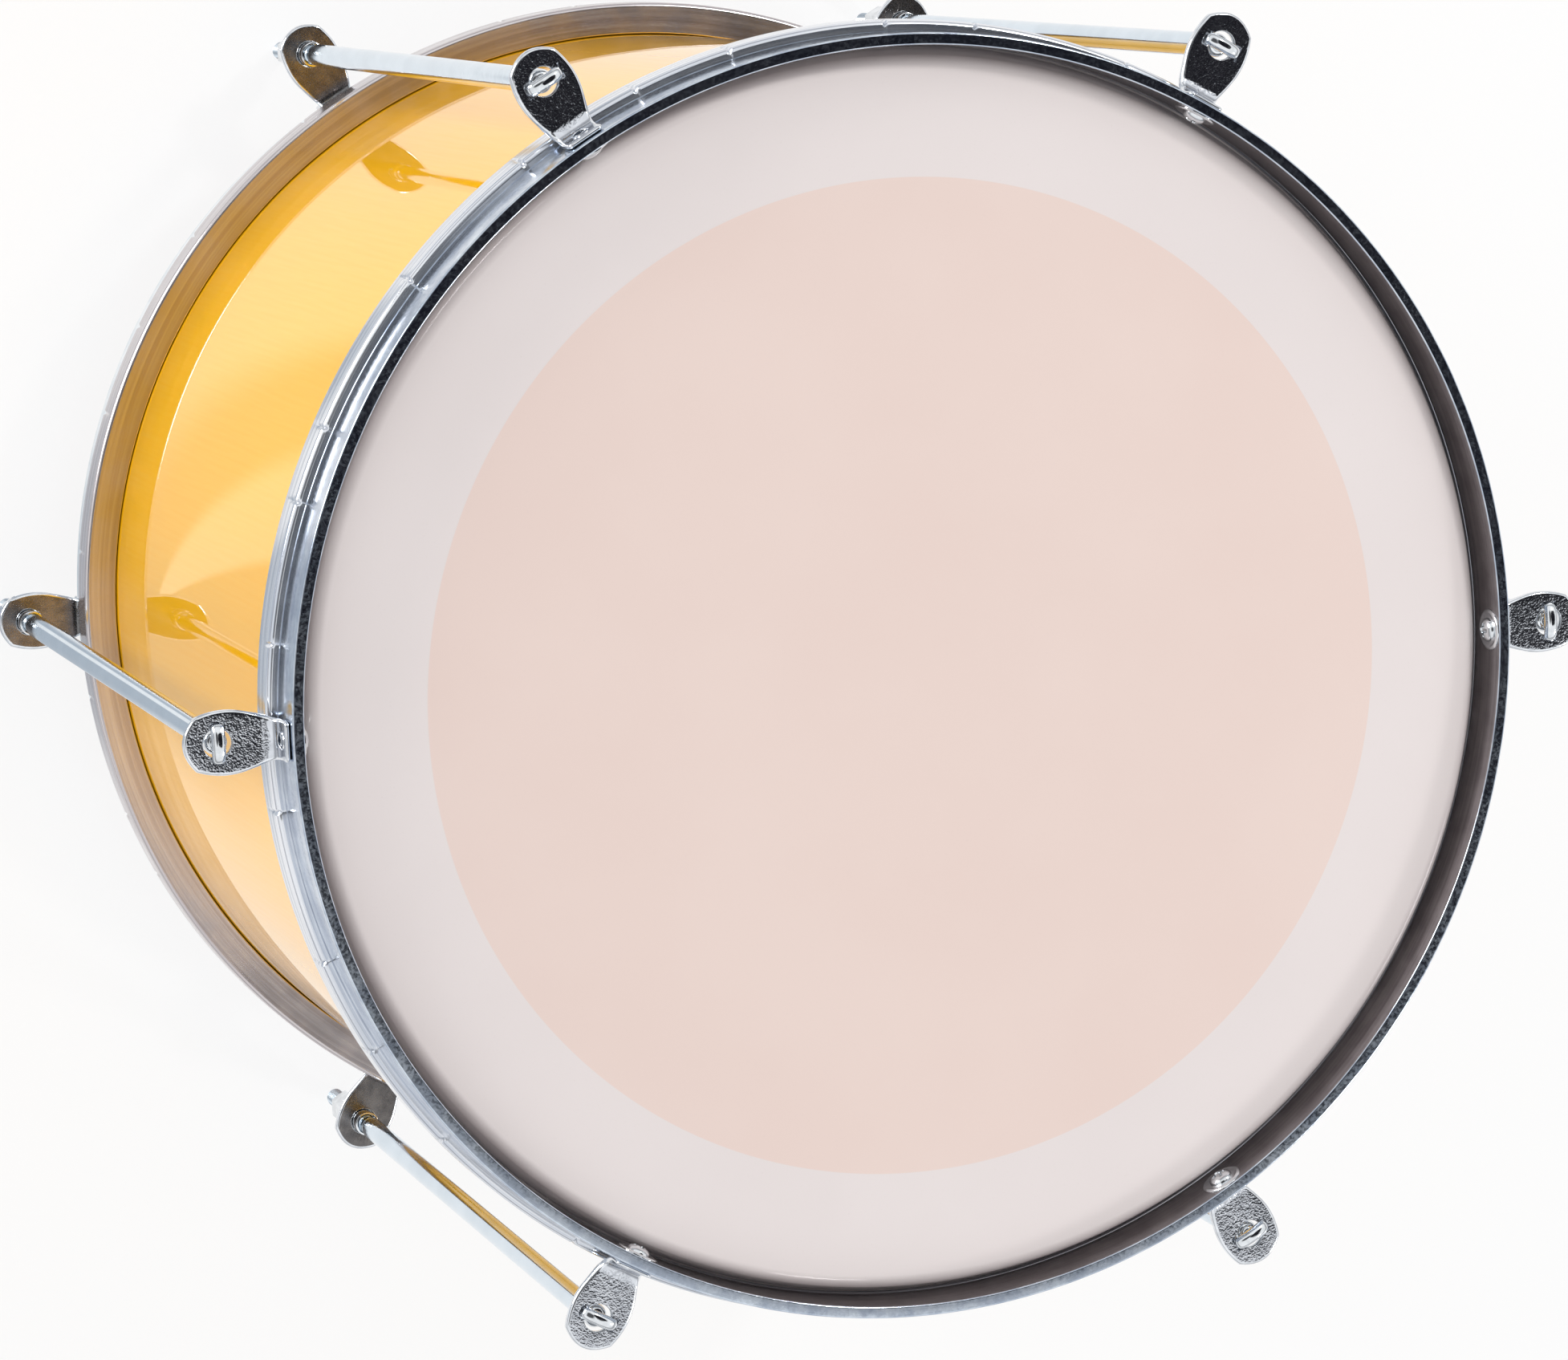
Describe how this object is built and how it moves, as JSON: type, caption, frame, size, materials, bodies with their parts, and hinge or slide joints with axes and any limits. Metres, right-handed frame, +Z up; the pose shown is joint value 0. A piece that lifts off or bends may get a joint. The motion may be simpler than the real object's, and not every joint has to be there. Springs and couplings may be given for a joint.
{
  "type": "repinique drum",
  "caption": "Small two-headed samba drum: a polished gold metal shell between two counter hoops, drawn together by tension rods with T-heads, ears and long barrel nuts.",
  "frame": {"origin": "centre of the circle through the ends of the tension rods, on the surface that they stand on", "axes": "+Z up the drum's axis towards the played head; +X through the first tension rod"},
  "size_m": [0.3652, 0.3218, 0.27],
  "materials": {
    "shell_gold": "mirror-polished metal under amber-gold lacquer",
    "head_film": "hazy translucent film",
    "damping_film": "thin white film",
    "flesh_aluminium": "bright rolled metal",
    "hoop_steel": "bright zinc plating, slightly mottled",
    "ear_chrome": "plated, with a coarse cast-like outer face",
    "rod_zinc": "bright blue-white zinc plating",
    "screw_zinc": "bright zinc plating"
  },
  "bodies": {
    "drum": {"shell": "shell_gold", "top_head_film": "head_film", "bottom_head_film": "head_film", "top_damping_ring": "damping_film", "top_flesh_hoop": "flesh_aluminium", "bottom_flesh_hoop": "flesh_aluminium", "top_counter_hoop": "hoop_steel", "bottom_counter_hoop": "hoop_steel", "top_ear_1": "ear_chrome", "top_ear_2": "ear_chrome", "top_ear_3": "ear_chrome", "top_ear_4": "ear_chrome", "top_ear_5": "ear_chrome", "top_ear_6": "ear_chrome", "bottom_ear_1": "ear_chrome", "bottom_ear_2": "ear_chrome", "bottom_ear_3": "ear_chrome", "bottom_ear_4": "ear_chrome", "bottom_ear_5": "ear_chrome", "bottom_ear_6": "ear_chrome", "top_ear_screw_1": "screw_zinc", "top_ear_screw_2": "screw_zinc", "top_ear_screw_3": "screw_zinc", "top_ear_screw_4": "screw_zinc", "top_ear_screw_5": "screw_zinc", "top_ear_screw_6": "screw_zinc", "bottom_ear_screw_1": "screw_zinc", "bottom_ear_screw_2": "screw_zinc", "bottom_ear_screw_3": "screw_zinc", "bottom_ear_screw_4": "screw_zinc", "bottom_ear_screw_5": "screw_zinc", "bottom_ear_screw_6": "screw_zinc", "tension_rod_1": "rod_zinc", "tension_rod_2": "rod_zinc", "tension_rod_3": "rod_zinc", "tension_rod_4": "rod_zinc", "tension_rod_5": "rod_zinc", "tension_rod_6": "rod_zinc"},
    "washer_slide_1": {"washer_1": "screw_zinc"},
    "washer_slide_2": {"washer_2": "screw_zinc"},
    "washer_slide_3": {"washer_3": "screw_zinc"},
    "washer_slide_4": {"washer_4": "screw_zinc"},
    "washer_slide_5": {"washer_5": "screw_zinc"},
    "washer_slide_6": {"washer_6": "screw_zinc"},
    "nut_1": {"barrel_nut_1": "screw_zinc"},
    "nut_2": {"barrel_nut_2": "screw_zinc"},
    "nut_3": {"barrel_nut_3": "screw_zinc"},
    "nut_4": {"barrel_nut_4": "screw_zinc"},
    "nut_5": {"barrel_nut_5": "screw_zinc"},
    "nut_6": {"barrel_nut_6": "screw_zinc"}
  },
  "joints": [
    {"name": "nut_travel_1", "type": "slide", "parent": "drum", "child": "washer_slide_1", "axis": [0, 0, -1], "range_m": [0, 0.008]},
    {"name": "nut_travel_2", "type": "slide", "parent": "drum", "child": "washer_slide_2", "axis": [0, 0, -1], "range_m": [0, 0.008]},
    {"name": "nut_travel_3", "type": "slide", "parent": "drum", "child": "washer_slide_3", "axis": [0, 0, -1], "range_m": [0, 0.008]},
    {"name": "nut_travel_4", "type": "slide", "parent": "drum", "child": "washer_slide_4", "axis": [0, 0, -1], "range_m": [0, 0.008]},
    {"name": "nut_travel_5", "type": "slide", "parent": "drum", "child": "washer_slide_5", "axis": [0, 0, -1], "range_m": [0, 0.008]},
    {"name": "nut_travel_6", "type": "slide", "parent": "drum", "child": "washer_slide_6", "axis": [0, 0, -1], "range_m": [0, 0.008]},
    {"name": "nut_turn_1", "type": "hinge", "parent": "washer_slide_1", "child": "nut_1", "pos_m": [0.1743, 0, 0.0214], "axis": [0, 0, -1], "range_deg": [0, 3600]},
    {"name": "nut_turn_2", "type": "hinge", "parent": "washer_slide_2", "child": "nut_2", "pos_m": [0.08715, 0.15095, 0.0214], "axis": [0, 0, -1], "range_deg": [0, 3600]},
    {"name": "nut_turn_3", "type": "hinge", "parent": "washer_slide_3", "child": "nut_3", "pos_m": [-0.08715, 0.15095, 0.0214], "axis": [0, 0, -1], "range_deg": [0, 3600]},
    {"name": "nut_turn_4", "type": "hinge", "parent": "washer_slide_4", "child": "nut_4", "pos_m": [-0.1743, 0, 0.0214], "axis": [0, 0, -1], "range_deg": [0, 3600]},
    {"name": "nut_turn_5", "type": "hinge", "parent": "washer_slide_5", "child": "nut_5", "pos_m": [-0.08715, -0.15095, 0.0214], "axis": [0, 0, -1], "range_deg": [0, 3600]},
    {"name": "nut_turn_6", "type": "hinge", "parent": "washer_slide_6", "child": "nut_6", "pos_m": [0.08715, -0.15095, 0.0214], "axis": [0, 0, -1], "range_deg": [0, 3600]}
  ],
  "couplings": [
    {"joint": "nut_turn_1", "follows": "nut_travel_1", "rad_per_m": 7854},
    {"joint": "nut_turn_2", "follows": "nut_travel_2", "rad_per_m": 7854},
    {"joint": "nut_turn_3", "follows": "nut_travel_3", "rad_per_m": 7854},
    {"joint": "nut_turn_4", "follows": "nut_travel_4", "rad_per_m": 7854},
    {"joint": "nut_turn_5", "follows": "nut_travel_5", "rad_per_m": 7854},
    {"joint": "nut_turn_6", "follows": "nut_travel_6", "rad_per_m": 7854}
  ]
}
